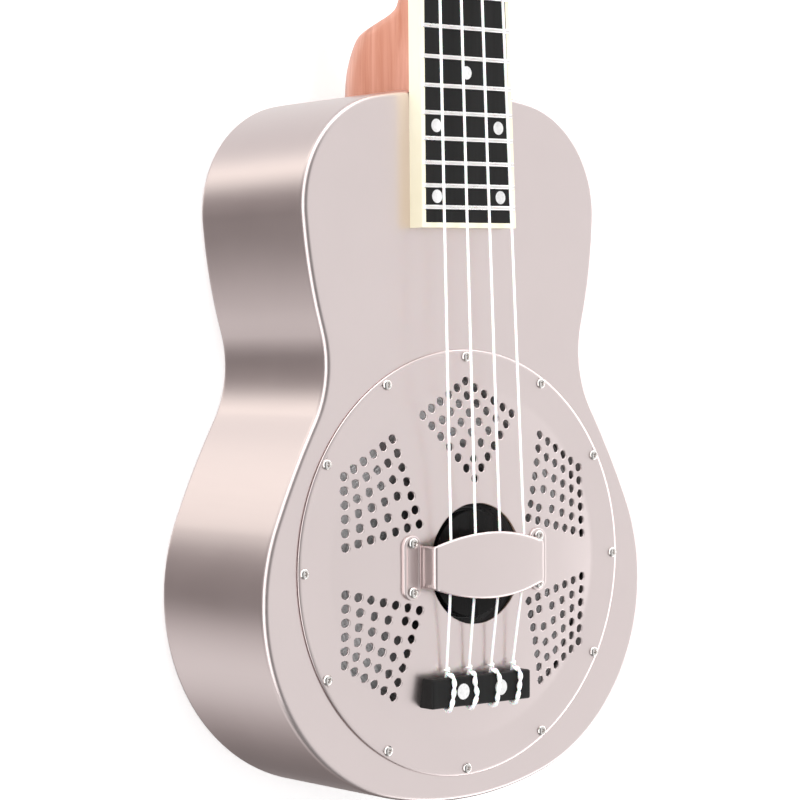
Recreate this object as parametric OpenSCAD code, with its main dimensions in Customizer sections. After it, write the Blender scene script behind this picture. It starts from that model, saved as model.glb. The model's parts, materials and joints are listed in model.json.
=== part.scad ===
// Metal-body resonator ukulele lying on its back.
// X runs across the body, Y along the neck towards the head, Z out of the face.
// Z = 0 is the flat back, and X = Y = 0 is the axis of the resonator cone.

/* [Scale and frets] */
// Sounding length from nut to saddle
scale_length = 345; // [340:1:352]
// Number of frets on the board
fret_count = 15; // [14:1:15]
// Fret that lies over the edge of the body
joint_fret = 10; // [10:1:10]
// Distance of the saddle behind the cone's axis
saddle_back = 0.8; // [0:0.1:2]

/* [Body] */
// Depth of the body from the back to the flat top
body_depth = 69; // [66:1:72]
// Thickness of the sheet metal
sheet = 1; // [0.8:0.1:1.2]
// Outer radius of the rolled edges
rim_r = 2; // [1.5:0.25:3]

/* [Resonator] */
// Diameter of the spun cone
cone_d = 152; // [150:1:154]
// Height of the cone from its rim to its flat top
cone_rise = 12; // [10:1:13]
// Diameter of the wooden biscuit
biscuit_d = 43; // [40:1:44]

/* [Coverplate] */
// Outer diameter of the coverplate
cover_d = 174; // [172:1:176]
// Diameter of the circle of coverplate screws
screw_circle_d = 168; // [166:1:169]
// Height of the coverplate's flat ring above the top
cover_step = 1; // [1:0.1:1.5]
// Rise of the dome from the ring to the central opening
dome_rise = 6.2; // [5.4:0.2:6.6]
// Diameter of the central opening
opening_d = 49; // [47:1:51]
// Angle by which the coverplate sits turned about the cone's axis
cover_turn = -1.4; // [-2:0.1:0]
// Diameter of each sound hole
hole_d = 3.5; // [3:0.1:3.8]

/* [Neck and board] */
// Width of the board over the edge of the body
board_w = 49; // [47:0.2:50]
// Width gained for each millimetre towards the cone
board_taper = 0.0334; // [0.03:0.0002:0.04]
// Thickness of the fingerboard
board_t = 7.4; // [7:0.2:7.8]
// Width of the binding strips
binding_w = 2; // [1.6:0.1:2.2]
// Angle by which the headstock leans back
head_tilt = 12; // [8:1:14]
// Length of the headstock
head_length = 104; // [100:1:110]
// Thickness of the headstock's wood
head_t = 12; // [11:0.5:13]

/* [Strings] */
// Diameter of the strings
string_d = 1.1; // [0.9:0.1:1.2]
// Height of the string's axis at the saddle
saddle_z = 83.5; // [82.5:0.25:83.5]
// Spread of the outer strings at the saddle
saddle_spread = 40.2; // [38:0.2:41]
// Spread of the outer strings at the nut
nut_spread = 30.8; // [29:0.2:32]
// Spread of the outer strings at the tie block
tie_spread = 36; // [35:0.5:37]

/* [Tuners] */
// Number of teeth on each tuner's wheel
wheel_teeth = 14; // [14:1:14]
// Pitch radius of the wheel
wheel_pitch_r = 5.85; // [5.85:0.05:5.85]
// Radius of the string post
post_r = 3; // [2.8:0.1:3.2]
// Radial clearance of every running fit
running_gap = 0.05; // [0.03:0.01:0.08]

/* [Hidden] */
$fn = 96;
eps = 0.01;
far = 400;

top_z = body_depth;
ring_z = top_z + cover_step;
dome_z = ring_z + dome_rise;

function fret_y(n) = scale_length * pow(2, -n / 12) - saddle_back;
function board_width(y) = board_w - board_taper * (y - fret_y(joint_fret));
body_top_y = fret_y(joint_fret);
nut_y = fret_y(0);
board_end_y = fret_y(fret_count + 1);
board_z = top_z + board_t;
nut_l = 5;
nut_z = board_z + 2.3;

// Outline of the right half of the body, from the neck to the tail, as arcs
// that run into each other: [radius, degrees turned]. A negative radius is a
// hollow curve. A last arc closes the outline at the tail.
body_arcs = [[235, 10.1], [46.1, 83.6], [210, 12.4], [-45.6, 46.8], [347, 7.3], [82.4, 97.7]];
arc_count = len(body_arcs) + 1;

// Where arc i starts, as [x, y, heading]
function start(i) = i == 0 ? [0, body_top_y, 0] : after(start(i - 1), arc(i - 1));
// Arc i, where the last one is worked out from where it starts
function arc(i) = i < len(body_arcs) ? body_arcs[i] : closing(start(i));
function closing(s) = [-s[0] / sin(s[2]), 180 + s[2]];
function arc_centre(s, r) = [s[0] + r * sin(s[2]), s[1] - r * cos(s[2])];
function after(s, a) =
    let (c = arc_centre(s, a[0]), h = s[2] - sign(a[0]) * a[1])
    [c[0] - a[0] * sin(h), c[1] + a[0] * cos(h), h];
tail_y = start(arc_count)[1];

// Largest gap between the outline's curves and the straight steps they are made in
outline_gap = 0.05;
function arc_steps(a) = ceil(a[1] / (2 * acos(1 - outline_gap / abs(a[0]))));

// Points of arc i, moved into the body by d, from its start up to the next arc
function arc_points(i, d) =
    let (s = start(i), a = arc(i), c = arc_centre(s, a[0]), n = arc_steps(a))
    [for (k = [0 : n - 1]) let (h = s[2] - sign(a[0]) * a[1] * k / n)
        [c[0] - (a[0] - d) * sin(h), c[1] + (a[0] - d) * cos(h)]];

// The whole outline, moved in by d, clockwise from the neck
function outline(d) =
    let (right = [for (i = [0 : arc_count - 1]) each arc_points(i, d)],
         n = len(right))
    concat(right, [[0, tail_y + d]], [for (k = [n - 1 : -1 : 1]) [-right[k][0], right[k][1]]]);

module body_area(d = 0) { polygon(outline(d)); }

rim_steps = 5;
// Section of a plate's rolled edge, from the inner face of the flat round to its
// outer face, as [distance inside the outline, depth below the outer face]
rim_section = concat(
    [for (k = [rim_steps : -1 : 0]) let (a = 90 * k / rim_steps)
        [rim_r - (rim_r - sheet) * cos(a), rim_r - (rim_r - sheet) * sin(a)]],
    [for (k = [0 : rim_steps]) let (a = 90 * k / rim_steps)
        [rim_r - rim_r * cos(a), rim_r - rim_r * sin(a)]]);

// Flat plate with a rolled edge all round, whose outer face is up at z = 0
module rolled_plate() {
    loops = [for (q = rim_section) [for (p = outline(q[0])) [p[0], p[1], -q[1]]]];
    m = len(loops);
    n = len(loops[0]);
    walls = [for (j = [0 : m - 2], k = [0 : n - 1])
        let (a = j * n + k, b = j * n + (k + 1) % n)
        each [[a, b, b + n], [a, b + n, a + n]]];
    inner_face = [for (k = [n - 1 : -1 : 0]) k];
    outer_face = [for (k = [0 : n - 1]) (m - 1) * n + k];
    polyhedron(points = [for (l = loops) each l], faces = concat(walls, [inner_face, outer_face]));
}

soundwell_r = cone_d / 2 + 1.8;
cover_screw_r = 1.1;
foot_screw_r = 1.25;
tie_bolt_r = 1.5;

// Turns children with the coverplate
module on_cover() { rotate([0, 0, cover_turn]) children(); }

// The twelve places of the coverplate's screws
module at_cover_screws() {
    on_cover() for (a = [0 : 30 : 330]) rotate([0, 0, a]) translate([0, screw_circle_d / 2, 0]) children();
}

module top_plate() {
    color([0.84, 0.80, 0.79]) difference() {
        translate([0, 0, top_z]) rolled_plate();
        translate([0, 0, top_z - 5]) cylinder(h = 10, r = soundwell_r);
        translate([0, 0, top_z - 5]) at_cover_screws() cylinder(h = 10, r = cover_screw_r);
    }
}

module back_plate() {
    color([0.80, 0.76, 0.75]) mirror([0, 0, 1]) rolled_plate();
}

stick_w = 16;
stick_z = [20, 39];
stick_end_y = tail_y + sheet + 0.5;
button_z = (stick_z[0] + stick_z[1]) / 2;

// One half of the side wall, split at the neck and at the tail
module side_half(m) {
    mirror([m, 0, 0]) difference() {
        translate([0, 0, rim_r]) linear_extrude(body_depth - 2 * rim_r) intersection() {
            difference() {
                body_area(0);
                body_area(sheet);
            }
            translate([0, -far]) square([far, 2 * far]);
        }
        translate([-stick_w / 2, body_top_y - 20, stick_z[0]])
            cube([stick_w, 40, stick_z[1] - stick_z[0]]);
        translate([0, tail_y - eps, button_z])
            rotate([-90, 0, 0]) cylinder(h = 20, r = 2.2);
    }
}
module right_side() { color([0.72, 0.67, 0.65]) side_half(0); }
module left_side() { color([0.72, 0.67, 0.65]) side_half(1); }

ledge_z = top_z - 12;
well_bottom_z = top_z - 26;
window_count = 8;

// Pressed well that hangs from the top and carries the rim of the cone
module soundwell() {
    color([0.62, 0.60, 0.58]) difference() {
        rotate_extrude() {
            translate([soundwell_r - sheet, well_bottom_z]) square([sheet, top_z - well_bottom_z]);
            translate([soundwell_r - 7, ledge_z - sheet]) square([7, sheet]);
            translate([soundwell_r - 7, well_bottom_z]) square([7, sheet]);
        }
        for (i = [0 : window_count - 1]) rotate([0, 0, (i + 0.5) * 360 / window_count])
            translate([soundwell_r - 4, -12, well_bottom_z + 3]) cube([10, 24, 8]);
    }
}

cone_t = 0.8;
cone_top_z = ledge_z + cone_t + cone_rise;

module cone() {
    r = cone_d / 2;
    f = biscuit_d / 2 + 1;
    color([0.86, 0.86, 0.87]) rotate_extrude()
        polygon([[1.3, cone_top_z], [f, cone_top_z], [r - 1.5, ledge_z + cone_t],
                 [r - 1.5, ledge_z + 2], [r, ledge_z + 2], [r, ledge_z],
                 [r - 2.3, ledge_z], [f - 0.8, cone_top_z - cone_t], [1.3, cone_top_z - cone_t]]);
}

biscuit_t = 4.5;
biscuit_z = cone_top_z + biscuit_t;
saddle_l = 43;
saddle_t = 3;

module biscuit() {
    color([0.05, 0.05, 0.05]) difference() {
        translate([0, 0, cone_top_z]) cylinder(h = biscuit_t, d = biscuit_d);
        translate([-saddle_l, -saddle_back - saddle_t / 2, biscuit_z - 2])
            cube([2 * saddle_l, saddle_t, 3]);
        translate([0, 0, cone_top_z - 1]) cylinder(h = 2.5, r = 1.2);
    }
}

module biscuit_screw() {
    color([0.75, 0.75, 0.76]) {
        translate([0, 0, cone_top_z - cone_t - 1.6]) cylinder(h = 1.6, r = 2.4);
        translate([0, 0, cone_top_z - cone_t - eps]) cylinder(h = 2.3, r = 1.2);
    }
}

string_count = 4;
// Place of string n across the instrument, for a spread between the outer ones
function string_x(n, spread) = spread * (n / (string_count - 1) - 0.5);

module saddle() {
    color([0.80, 0.68, 0.48]) difference() {
        translate([-saddle_l / 2 + 1, -saddle_back - saddle_t / 2, biscuit_z - 2])
            cube([saddle_l - 2, saddle_t, saddle_z - biscuit_z + 2]);
        for (n = [0 : string_count - 1])
            translate([string_x(n, saddle_spread), -saddle_back - saddle_t, saddle_z])
                rotate([-90, 0, 0]) cylinder(h = 2 * saddle_t, d = string_d + 0.1);
    }
}

// The coverplate's dome is part of a sphere that meets the ring at dome_edge_r
dome_edge_r = cone_d / 2 + 3;
opening_r = opening_d / 2;
dome_sphere_r = (pow(dome_edge_r, 2) - pow(opening_r, 2)) / (2 * dome_rise);
dome_centre_z = ring_z - sqrt(pow(dome_sphere_r, 2) - pow(dome_edge_r, 2));
function dome_height(r) = dome_centre_z + sqrt(pow(dome_sphere_r, 2) - r * r);

// A kite of sound holes points at the cone's axis. Its corners are [across, out].
kite_out = [0, 74];
kite_side = [24.3, 60.5];
kite_in = [0, 34.4];
kite_cells = 5;
kite_angles = [0, 60, 120, 240, 300];

// Centres of all the holes of one kite
function kite_holes() = concat(
    [for (i = [0 : kite_cells]) kite_out + i / kite_cells * (kite_side - kite_out)],
    [for (i = [1 : kite_cells]) let (p = kite_out + i / kite_cells * (kite_side - kite_out)) [-p[0], p[1]]],
    [for (i = [1 : 6]) kite_side + i / 6 * (kite_in - kite_side)],
    [for (i = [1 : 5]) let (p = kite_side + i / 6 * (kite_in - kite_side)) [-p[0], p[1]]],
    [for (i = [1 : 4], j = [1 : 4])
        let (a = kite_out + i / kite_cells * (kite_side - kite_out),
             b = kite_out + j / kite_cells * (kite_side - kite_out),
             k = i * j / 25)
        [a[0] - b[0], kite_out[1] - (kite_out[1] - a[1]) - (kite_out[1] - b[1]) - 13 * k]],
    [[0, kite_in[1] + 6.4]]);

foot_x = 34.3;
foot_hole_y = 9.8;
tie_y = -50.9;
tie_bolt_x = 10.3;

// The four screws of the hand rest, and the two bolts of the tie block
module at_foot_screws() {
    on_cover() for (x = [-1, 1], y = [-1, 1]) translate([x * foot_x, y * foot_hole_y, 0]) children();
}
module at_tie_bolts() {
    on_cover() for (x = [-1, 1]) translate([x * tie_bolt_x, tie_y, 0]) children();
}

module coverplate() {
    color([0.84, 0.80, 0.79]) difference() {
        rotate_extrude() {
            // flat ring that lies on the top
            translate([dome_edge_r, ring_z - sheet]) square([cover_d / 2 - dome_edge_r, sheet]);
            intersection() {
                translate([0, dome_centre_z]) difference() {
                    circle(dome_sphere_r, $fn = 1440);
                    circle(dome_sphere_r - sheet, $fn = 1440);
                }
                translate([opening_r, top_z - 2]) square([dome_edge_r - opening_r + 0.2, 20]);
            }
            translate([opening_r, dome_z - 3]) square([sheet, 3 - 0.05]);
        }
        for (a = kite_angles, p = kite_holes()) rotate([0, 0, a + cover_turn])
            translate([p[0], p[1], top_z - 1]) cylinder(h = 20, d = hole_d, $fn = 24);
        translate([0, 0, top_z - 1]) {
            at_cover_screws() cylinder(h = 10, r = cover_screw_r + 0.15, $fn = 24);
            at_foot_screws() cylinder(h = 20, r = foot_screw_r + 0.05, $fn = 24);
            at_tie_bolts() cylinder(h = 20, r = tie_bolt_r + 0.1, $fn = 24);
        }
    }
}

// Round head with a cross recess, standing on z = 0
module screw_head(r, h) {
    difference() {
        intersection() {
            cylinder(h = h, r = r, $fn = 32);
            translate([0, 0, h - 1.6 * r]) sphere(1.6 * r, $fn = 64);
        }
        for (a = [0, 90]) rotate([0, 0, a])
            translate([-0.55 * r, -0.14 * r, h - 0.45 * h]) cube([1.1 * r, 0.28 * r, h]);
    }
}

module coverplate_screws() {
    color([0.82, 0.82, 0.82]) at_cover_screws() {
        translate([0, 0, ring_z]) screw_head(2.2, 1.5);
        translate([0, 0, ring_z - 9]) cylinder(h = 9 + eps, r = cover_screw_r - 0.02, $fn = 32);
    }
}

strap_t = 1.2;
strap_half = 30.2;
strap_edge_z = 85;
strap_bow = 2;
strap_arch_r = (pow(strap_half, 2) + pow(strap_bow, 2)) / (2 * strap_bow);
strap_w = [17.4, 26.8];
strap_plan_bow = (strap_w[1] - strap_w[0]) / 2;
strap_plan_r = (pow(strap_half, 2) + pow(strap_plan_bow, 2)) / (2 * strap_plan_bow);
// The webs between the strap and its feet, a little inside the strap's ends
web_x = strap_half - strap_t / 2 - 0.15;
web_w = strap_w[0] - 0.8;
foot_w = 9.2;
foot_l = 26;
foot_top_z = dome_height(foot_x) + 1.1;

// Plan of the strap: a bowed strip between two large circles
module strap_area() {
    intersection() {
        square([2 * strap_half, 60], center = true);
        translate([0, strap_plan_r - strap_w[1] / 2]) circle(strap_plan_r, $fn = 720);
        translate([0, strap_w[1] / 2 - strap_plan_r]) circle(strap_plan_r, $fn = 720);
    }
}

// Arched hand rest with two turned-out feet that stand on the dome
module palm_rest() {
    color([0.86, 0.82, 0.81]) difference() {
        on_cover() {
            intersection() {
                translate([0, 40, strap_edge_z + strap_bow - strap_arch_r])
                    rotate([90, 0, 0]) difference() {
                        cylinder(h = 80, r = strap_arch_r, $fn = 720);
                        translate([0, 0, -1]) cylinder(h = 82, r = strap_arch_r - strap_t, $fn = 720);
                    }
                translate([0, 0, top_z]) linear_extrude(40) strap_area();
            }
            for (s = [-1, 1])
                translate([s * web_x - strap_t / 2, -web_w / 2, foot_top_z - 2])
                    cube([strap_t, web_w, strap_edge_z - foot_top_z + 1.8]);
            for (s = [-1, 1]) translate([s * foot_x, 0, foot_top_z - 3]) linear_extrude(3) {
                square([foot_w, foot_l - foot_w], center = true);
                for (e = [-1, 1]) translate([0, e * (foot_l - foot_w) / 2]) circle(foot_w / 2);
            }
        }
        translate([0, 0, dome_centre_z]) sphere(dome_sphere_r, $fn = 360);
        translate([0, 0, top_z]) at_foot_screws() cylinder(h = 20, r = foot_screw_r + 0.05, $fn = 24);
    }
}

module palm_rest_screws() {
    color([0.82, 0.82, 0.82]) translate([0, 0, foot_top_z]) at_foot_screws() {
        screw_head(2.3, 1.5);
        translate([0, 0, -6]) cylinder(h = 6 + eps, r = foot_screw_r, $fn = 32);
    }
}

// Hexagonal nut of a given height, on z = 0
module hex_nut(h, r, hole_r) {
    difference() {
        cylinder(h = h, r = r, $fn = 6);
        translate([0, 0, -1]) cylinder(h = h + 2, r = hole_r, $fn = 24);
    }
}

module palm_rest_nuts() {
    color([0.70, 0.70, 0.70]) translate([0, 0, foot_top_z - 4.9])
        at_foot_screws() hex_nut(1.8, 2.6, foot_screw_r + 0.05);
}

tie_size = [53.8, 12, 5.6];
tie_top_z = dome_height(abs(tie_y)) + tie_size[2];
tie_hole_z = tie_top_z - 3.7;
tie_hole_r = 0.8;
bolt_head_r = 3;
bolt_head_z = tie_top_z - 2.5;
dot_t = 1.2;

// Block that the strings are tied round, with a string hole for each
module tie_block() {
    color([0.06, 0.06, 0.06]) difference() {
        on_cover() translate([-tie_size[0] / 2, tie_y - tie_size[1] / 2, dome_z - 8])
            cube([tie_size[0], tie_size[1], tie_top_z - dome_z + 8]);
        translate([0, 0, dome_centre_z]) sphere(dome_sphere_r, $fn = 360);
        for (n = [0 : string_count - 1])
            translate([string_x(n, tie_spread), tie_y - tie_size[1], tie_hole_z])
                rotate([-90, 0, 0]) cylinder(h = 2 * tie_size[1], r = tie_hole_r, $fn = 24);
        translate([0, 0, top_z]) at_tie_bolts() cylinder(h = 20, r = tie_bolt_r + 0.1, $fn = 24);
        translate([0, 0, bolt_head_z]) at_tie_bolts() cylinder(h = 4, r = bolt_head_r + 0.25);
    }
}

module tie_block_bolts() {
    color([0.70, 0.70, 0.70]) translate([0, 0, bolt_head_z]) at_tie_bolts() {
        cylinder(h = 1.2, r = bolt_head_r);
        translate([0, 0, -10]) cylinder(h = 10 + eps, r = tie_bolt_r, $fn = 32);
    }
}

module tie_block_nuts() {
    color([0.70, 0.70, 0.70])
        translate([0, 0, dome_height(norm([tie_bolt_x, tie_y])) - sheet - 2.6])
            at_tie_bolts() hex_nut(2.2, 3.2, tie_bolt_r + 0.1);
}

module tie_block_dots() {
    color([0.95, 0.94, 0.92]) translate([0, 0, tie_top_z - dot_t])
        at_tie_bolts() cylinder(h = dot_t, r = bolt_head_r + 0.2);
}

// A slice of the neck: flat in front, round behind
module neck_slice(y, half_w, depth, power = 1) {
    translate([0, y, top_z]) rotate([90, 0, 0]) linear_extrude(eps)
        polygon([for (a = [0 : 10 : 180])
            [half_w * sign(cos(a)) * pow(abs(cos(a)), power), -depth * pow(sin(a), power)]]);
}

neck_end_y = nut_y + nut_l;
shaft_y = body_top_y + 33;
// Slices of the heel, as [distance from the body's edge, depth below the face]
heel_slices = [[-2, 54], [15, 50], [23, 44.5], [26, 39.6]];
post_hole_r = 4.3;

// Puts children in the headstock's frame: y along it, z out of its face
module in_head() { translate([0, neck_end_y, top_z]) rotate([-head_tilt, 0, 0]) children(); }

head_y = [32, 66];
head_x = 19;
// Puts children at the post of tuner n, mirrored on the left side
module at_tuner(n) {
    in_head() mirror([n < 2 ? 1 : 0, 0, 0])
        translate([head_x, n == 0 || n == 3 ? head_y[0] : head_y[1], 0]) children();
}

module head_area() {
    w = board_width(nut_y) / 2;
    polygon([[w, -6], [w, 3], [28, 19], [30.5, 25], [32, 60], [33, head_length - 8],
             [29, head_length - 1], [12, head_length - 3], [0, head_length],
             [-12, head_length - 3], [-29, head_length - 1], [-33, head_length - 8],
             [-32, 60], [-30.5, 25], [-28, 19], [-w, 3], [-w, -6]]);
}

veneer_t = 1.5;

module neck() {
    color([0.80, 0.55, 0.45]) difference() {
        union() {
            // shaft
            hull() {
                neck_slice(shaft_y, board_width(shaft_y) / 2 - 0.2, 15.5, 0.7);
                neck_slice(neck_end_y, board_width(nut_y) / 2 - 0.2, 14, 0.75);
            }
            // heel
            hull() {
                for (h = heel_slices)
                    neck_slice(body_top_y + h[0], board_width(body_top_y + h[0]) / 2 - 0.3, h[1], 0.5);
                neck_slice(shaft_y, board_width(shaft_y) / 2 - 0.2, 15.5, 0.7);
            }
            in_head() translate([0, 0, -veneer_t - head_t]) linear_extrude(head_t) head_area();
        }
        // the heel is fitted to the curve of the side
        linear_extrude(body_depth + 1) body_area(0);
        in_head() translate([-50, -20, -veneer_t]) cube([100, 150, 20]);
        translate([-stick_w / 2, body_top_y - 5, stick_z[0]])
            cube([stick_w, 17, stick_z[1] - stick_z[0]]);
        for (n = [0 : 3]) at_tuner(n) translate([0, 0, -30]) cylinder(h = 40, r = post_hole_r);
    }
}

module headplate() {
    color([0.07, 0.06, 0.06]) difference() {
        in_head() translate([0, 0, -veneer_t]) linear_extrude(veneer_t) head_area();
        translate([-50, neck_end_y - 30, 0]) cube([100, 30, 2 * far]);
        for (n = [0 : 3]) at_tuner(n) translate([0, 0, -30]) cylinder(h = 40, r = post_hole_r);
    }
}

// Stick from the heel to the tail, which takes the pull of the strings
module neck_stick() {
    color([0.78, 0.60, 0.42]) difference() {
        translate([-stick_w / 2, stick_end_y, stick_z[0]])
            cube([stick_w, body_top_y + 12 - stick_end_y, stick_z[1] - stick_z[0]]);
        translate([0, tail_y, button_z]) rotate([-90, 0, 0]) cylinder(h = 25, r = 1.9);
    }
}

// Blocks that hold the stick off the back
module stick_blocks() {
    color([0.82, 0.66, 0.48]) for (y = [-70, 0, 120])
        translate([-stick_w / 2, y - 8, sheet]) cube([stick_w, 16, stick_z[0] - sheet]);
}

strap_neck_r = 3.2;

module strap_button() {
    color([0.85, 0.83, 0.82]) translate([0, tail_y, button_z]) rotate([90, 0, 0]) {
        rotate_extrude() polygon([[0, 0], [5.5, 0], [5.2, 1], [strap_neck_r, 2.2], [strap_neck_r, 6.5],
                                  [6, 8.2], [6, 9.4], [4.5, 10.4], [0, 10.6]]);
        translate([0, 0, -20]) cylinder(h = 20 + eps, r = 1.8);
    }
}

// Board outline between two heights along the neck, less a margin at each side
module board_area(y0, y1, margin) {
    w0 = board_width(y0) / 2 - margin;
    w1 = board_width(y1) / 2 - margin;
    polygon([[-w0, y0], [w0, y0], [w1, y1], [-w1, y1]]);
}

dot_r = 2.7;
// The position dots, as [fret space, distance either side of the middle]
dots = [[5, 0], [7, 0], [10, 0], [12, 16.8], [15, 17.2]];

module at_dots() {
    for (d = dots, s = d[1] == 0 ? [1] : [-1, 1])
        translate([s * d[1], (fret_y(d[0]) + fret_y(d[0] - 1)) / 2, board_z]) children();
}

module fingerboard() {
    color([0.12, 0.11, 0.11]) difference() {
        translate([0, 0, top_z]) linear_extrude(board_t)
            board_area(board_end_y + binding_w, nut_y, binding_w);
        for (n = [1 : fret_count])
            translate([-far / 2, fret_y(n) - 0.3, board_z - 1.8]) cube([far, 0.6, 5]);
        at_dots() translate([0, 0, -1.2]) cylinder(h = 3, r = dot_r);
    }
}

module fingerboard_binding() {
    color([0.97, 0.95, 0.82]) translate([0, 0, top_z]) linear_extrude(board_t) difference() {
        board_area(board_end_y, nut_y, 0);
        board_area(board_end_y + binding_w, nut_y + 1, binding_w);
    }
}

fret_r = 0.85;
module frets() {
    color([0.85, 0.85, 0.86]) for (n = [1 : fret_count]) {
        w = board_width(fret_y(n)) - 0.6;
        translate([-w / 2, fret_y(n), board_z]) rotate([90, 0, 90]) linear_extrude(w)
            intersection() {
                circle(fret_r, $fn = 32);
                translate([-fret_r, 0]) square([2 * fret_r, fret_r]);
            }
        inner = w - 2 * binding_w - 0.4;
        translate([-inner / 2, fret_y(n) - 0.25, board_z - 1.6]) cube([inner, 0.5, 1.6 + eps]);
    }
}

module position_dots() {
    color([0.96, 0.95, 0.93]) at_dots() translate([0, 0, -1.2]) cylinder(h = 1.2, r = dot_r - 0.02);
}

module nut() {
    w = board_width(nut_y);
    color([0.97, 0.96, 0.93]) difference() {
        translate([-w / 2, nut_y, top_z]) cube([w, nut_l, nut_z - top_z + 0.2]);
        for (n = [0 : string_count - 1])
            translate([string_x(n, nut_spread), nut_y - 1, nut_z])
                rotate([-90, 0, 0]) cylinder(h = nut_l + 2, d = string_d + 0.1, $fn = 24);
    }
}

// A round cord through the points of a path, which never runs along the aside direction
module cord(path, d, aside = [1, 0, 0]) {
    sides = 8;
    last = len(path) - 1;
    rings = [for (k = [0 : last])
        let (v = path[min(k + 1, last)] - path[max(k - 1, 0)], t = v / norm(v),
             u = aside - (aside * t) * t, e = u / norm(u), f = cross(t, e))
        for (j = [0 : sides - 1])
            path[k] + d / 2 * (cos(j * 360 / sides) * e + sin(j * 360 / sides) * f)];
    walls = [for (k = [0 : last - 1], j = [0 : sides - 1])
        let (a = k * sides + j, b = k * sides + (j + 1) % sides)
        each [[b + sides, b, a], [a + sides, b + sides, a]]];
    start_cap = [for (j = [0 : sides - 1]) j];
    end_cap = [for (j = [sides - 1 : -1 : 0]) last * sides + j];
    polyhedron(points = rings, faces = concat(walls, [start_cap, end_cap]));
}

// A point of the headstock's frame in the instrument's frame
function head_to_body(p) = [p[0],
    neck_end_y + p[1] * cos(head_tilt) + p[2] * sin(head_tilt),
    top_z - p[1] * sin(head_tilt) + p[2] * cos(head_tilt)];

wrap_z = 6;
wrap_count = 4;
wrap_r = post_r + string_d / 2 + 0.1;
// The string leaves its winding on the side nearer the middle
function leave_point(n) = head_to_body([
    (n < 2 ? -1 : 1) * (head_x - wrap_r - string_d - 0.3),
    (n == 0 || n == 3 ? head_y[0] : head_y[1]) - 0.5, wrap_z]);

// String n, from its winding over the nut and the saddle to the tie block,
// through the block, and back over it
module string_run(n) {
    r = string_d / 2;
    xs = string_x(n, saddle_spread);
    xn = string_x(n, nut_spread);
    xt = string_x(n, tie_spread);
    xb = xt + 1.6;
    y = tie_y + xt * sin(cover_turn);
    front = y + tie_size[1] / 2;
    rear = y - tie_size[1] / 2;
    path = [leave_point(n), [xn, neck_end_y, nut_z - 0.1], [xn, nut_y, nut_z],
            [xs, -saddle_back, saddle_z], [xt, front + 1.2, tie_hole_z + 0.3],
            [xt, front - 0.5, tie_hole_z], [xt, rear, tie_hole_z],
            [xt + 0.3, rear - 1.1, tie_hole_z + 0.6], [xb - 0.4, rear - 1.1, tie_top_z - 0.6],
            [xb, rear - 0.2, tie_top_z + r], [xb, y, tie_top_z + r + 0.05],
            [xb, front - 0.5, tie_top_z + r], [xb, front + 1.1, tie_top_z - 0.3],
            [xb - 0.5, front + 1.4, tie_hole_z + 1.7]];
    color([0.97, 0.97, 0.96]) cord(path, string_d);
}
module string_1() { string_run(0); }
module string_2() { string_run(1); }
module string_3() { string_run(2); }
module string_4() { string_run(3); }

// Tuners. Each one's parts are made about its own post.
back_z = -veneer_t - head_t;
plate_t = 1.2;
wheel_t = 1.6;
worm_mean_r = 2.4;
worm_swing = 0.7;
wheel_z = back_z - plate_t - worm_mean_r - worm_swing - 0.3;
worm_y = -(wheel_pitch_r + worm_mean_r);
worm_lead = 2 * PI * wheel_pitch_r / wheel_teeth;
worm_turns = 3;
worm_l = worm_turns * worm_lead;
shaft_r = 1.5;
ear_x = worm_l / 2 + 0.6;
ear_t = 1.8;
button_x = 18;
square_half = 1.1;

module tuner_bushings() {
    color([0.85, 0.84, 0.83]) for (n = [0 : 3]) at_tuner(n) difference() {
        union() {
            cylinder(h = 1.5, r = 6);
            translate([0, 0, -7]) cylinder(h = 7 + eps, r = post_hole_r - 0.02);
        }
        translate([0, 0, -10]) cylinder(h = 20, r = post_r + running_gap);
    }
}

plate_half_w = 7.5;
plate_y = [-14.5, 10];
plate_screw_y = [-12.3, 7.8];

module tuner_plate(n) {
    color([0.83, 0.81, 0.80]) at_tuner(n) difference() {
        union() {
            translate([-plate_half_w, plate_y[0], back_z - plate_t])
                cube([2 * plate_half_w, plate_y[1] - plate_y[0], plate_t]);
            for (s = [-1, 1])
                translate([s * (ear_x + ear_t / 2) - ear_t / 2, worm_y - 2.4, wheel_z - 2.8])
                    cube([ear_t, 4.8, back_z - plate_t - wheel_z + 2.8 + eps]);
        }
        translate([0, 0, back_z - 5]) cylinder(h = 10, r = post_r + running_gap);
        translate([-20, worm_y, wheel_z]) rotate([0, 90, 0]) cylinder(h = 40, r = shaft_r + running_gap);
        for (y = plate_screw_y) translate([0, y, back_z - 5]) cylinder(h = 10, r = 1.2, $fn = 24);
    }
}

module tuner_screws() {
    color([0.83, 0.81, 0.80]) for (n = [0 : 3]) at_tuner(n) for (y = plate_screw_y)
        translate([0, y, back_z - plate_t]) mirror([0, 0, 1]) {
            screw_head(2, 1);
            translate([0, 0, -plate_t]) cylinder(h = plate_t + eps, r = 1.15, $fn = 24);
        }
}

post_top_z = 13;
module string_post(n) {
    bottom = wheel_z - wheel_t / 2;
    color([0.86, 0.85, 0.84]) at_tuner(n) difference() {
        rotate_extrude() polygon([[0, bottom], [1.6, bottom], [1.6, bottom + wheel_t + 0.1],
                                  [post_r, bottom + wheel_t + 0.1], [post_r, post_top_z - 0.6],
                                  [post_r - 0.6, post_top_z], [0, post_top_z]]);
        translate([-5, 0, wrap_z + 4]) rotate([0, 90, 0]) cylinder(h = 10, r = 0.7, $fn = 24);
        translate([0, 0, bottom - 1]) cylinder(h = 5, r = 0.9, $fn = 24);
    }
}

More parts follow.
